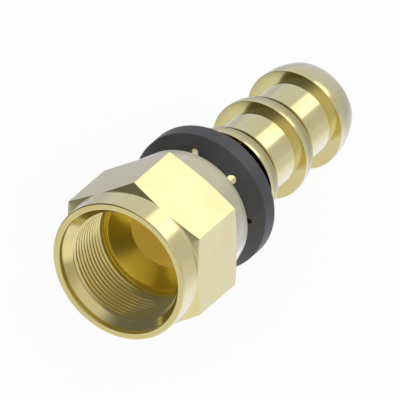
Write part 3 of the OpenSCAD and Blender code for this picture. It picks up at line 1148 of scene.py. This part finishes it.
def floor_material():
    """Pale floor: white to the camera, with part of its own shading so that it keeps the shadow."""
    material = bpy.data.materials.new("pale_floor")
    tree = cleared_tree(material)
    cloud = noise(tree, {"Vector": object_place(tree), "Scale": 900.0, "Detail": 3.0})
    tone = colour_mix(tree, cloud, (0.93, 0.93, 0.93), (0.95, 0.95, 0.95))
    matt = node(tree, "ShaderNodeBsdfDiffuse", {"Color": tone, "Roughness": 1.0})
    white = node(tree, "ShaderNodeEmission", {"Color": (1, 1, 1, 1), "Strength": 1.0})
    path = node(tree, "ShaderNodeLightPath").outputs
    seen = calc(tree, "MAXIMUM", calc(tree, "MAXIMUM", path["Is Camera Ray"], path["Is Glossy Ray"]),
                path["Is Transmission Ray"])
    mixed = node(tree, "ShaderNodeMixShader",
                 {0: calc(tree, "MULTIPLY", seen, FLOOR_WHITE), 1: matt.outputs[0], 2: white.outputs[0]})
    node(tree, "ShaderNodeOutputMaterial", {"Surface": mixed.outputs[0]})
    return material


def build_floor(stage):
    """A round floor just where the nut's lower flat rests."""
    turns = [math.tau * i / FLOOR_STEPS for i in range(FLOOR_STEPS)]
    ring = [(stage.floor_radius * math.cos(t), stage.floor_radius * math.sin(t), NUT_LO.z) for t in turns]
    mesh = bpy.data.meshes.new("floor")
    mesh.from_pydata(ring, [], [tuple(range(FLOOR_STEPS))])
    mesh.materials.append(floor_material())
    floor = new_object("floor", mesh)
    floor.visible_glossy = False


def build_key(stage):
    """One square soft box, which also draws the soft shadow."""
    lamp = bpy.data.lights.new("key", "AREA")
    lamp.size = stage.key_size
    # Radiance of a square area lamp is its power over pi and its area
    lamp.energy = stage.key_level * math.pi * stage.key_size ** 2
    key = new_object("key", lamp)
    towards = Vector(stage.key_direction).normalized()
    key.location = Vector(stage.aim) + towards * stage.key_distance
    key.rotation_mode = "QUATERNION"
    key.rotation_quaternion = towards.to_track_quat("Z", "Y")
    # The brass sees the soft box of the world instead
    key.visible_glossy = False


def build_camera(stage):
    """A parallel camera at the viewing angle of the photograph."""
    look = Vector(stage.look).normalized()
    up = Vector(stage.up)
    up = (up - look * up.dot(look)).normalized()
    right = look.cross(up)
    camera = new_object("camera", bpy.data.cameras.new("camera"))
    camera.data.type = "ORTHO"
    camera.data.ortho_scale = stage.view_width
    camera.data.clip_start = 0.01
    camera.data.clip_end = 20.0
    place = Vector(stage.aim) - look * stage.distance
    camera.matrix_world = Matrix.Translation(place) @ Matrix((right, up, -look)).transposed().to_4x4()
    bpy.context.scene.camera = camera


class FITTING_OT_stage(Operator):
    """Builds the floor, lights and camera"""

    bl_idname = "fitting.stage"
    bl_label = "Stage"

    def execute(self, context):
        stage = context.scene.fitting_stage
        build_world(stage)
        build_floor(stage)
        build_key(stage)
        build_camera(stage)
        context.scene.view_settings.view_transform = "Standard"
        return {"FINISHED"}


OPERATORS = [FITTING_OT_swivel_nut, FITTING_OT_nut_thread, FITTING_OT_tailpiece, FITTING_OT_collar,
             FITTING_OT_stage]


class FITTING_PT_panel(Panel):
    """Lists the steps that build the fitting"""

    bl_idname = "FITTING_PT_panel"
    bl_label = "Hose Fitting"
    bl_space_type = "VIEW_3D"
    bl_region_type = "UI"
    bl_category = "Fitting"

    def draw(self, context):
        for operator in OPERATORS:
            self.layout.operator(operator.bl_idname)
        for name in SETTINGS:
            box = self.layout.box()
            group = getattr(context.scene, name)
            for key in group.bl_rna.properties.keys():
                if key not in ("rna_type", "name"):
                    box.prop(group, key)


SETTINGS = {"fitting_nut": NutSizes, "fitting_thread": ThreadSizes, "fitting_tail": TailSizes,
            "fitting_collar": CollarSizes, "fitting_finish": Finishes, "fitting_stage": StageSettings}


def register():
    """Registers the classes and puts their settings on the scene."""
    for group in SETTINGS.values():
        bpy.utils.register_class(group)
    for operator in OPERATORS:
        bpy.utils.register_class(operator)
    bpy.utils.register_class(FITTING_PT_panel)
    for name, group in SETTINGS.items():
        setattr(bpy.types.Scene, name, PointerProperty(type=group))


def unregister():
    """Takes the settings and the classes away again."""
    for name in SETTINGS:
        delattr(bpy.types.Scene, name)
    bpy.utils.unregister_class(FITTING_PT_panel)
    for operator in reversed(OPERATORS):
        bpy.utils.unregister_class(operator)
    for group in reversed(SETTINGS.values()):
        bpy.utils.unregister_class(group)


def main():
    """Builds every piece and the stage."""
    register()
    bpy.ops.fitting.swivel_nut()
    bpy.ops.fitting.nut_thread()
    bpy.ops.fitting.tailpiece()
    bpy.ops.fitting.collar()
    bpy.ops.fitting.stage()


if __name__ == "__main__":
    main()
